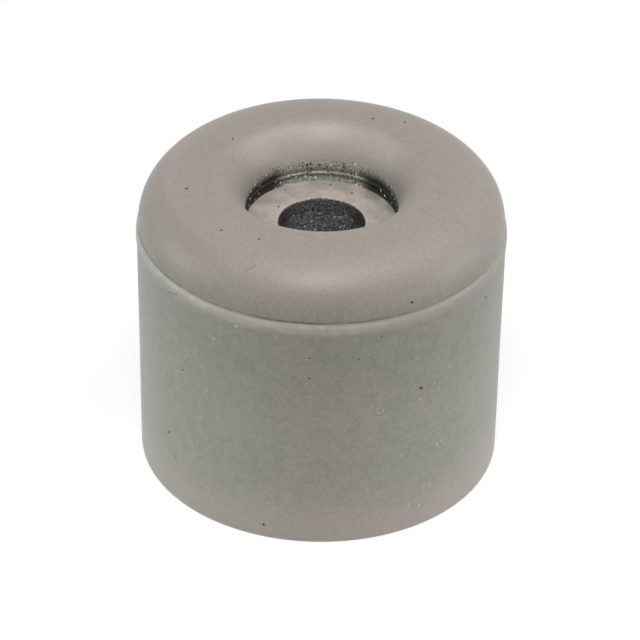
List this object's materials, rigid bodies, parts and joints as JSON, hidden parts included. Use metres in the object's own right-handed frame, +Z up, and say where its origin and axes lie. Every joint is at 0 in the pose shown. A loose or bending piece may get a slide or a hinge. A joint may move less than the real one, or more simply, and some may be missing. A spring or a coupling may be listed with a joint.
{
  "type": "rubber door stop",
  "caption": "Round rubber buffer with a domed top and a recess that holds a captive steel washer over a through bore for one fixing screw.",
  "frame": {"origin": "centre of the flat base, on the axis of the bore", "axes": "+Z up along the bore, from the base to the crown; the body is round about it"},
  "size_m": [0.0404, 0.0404, 0.035],
  "materials": {
    "grey_rubber": "matt moulded rubber with a soft sheen",
    "washer_steel": "dull plated steel"
  },
  "bodies": {
    "root": {"rubber_body": "grey_rubber", "steel_washer": "washer_steel"}
  },
  "joints": []
}
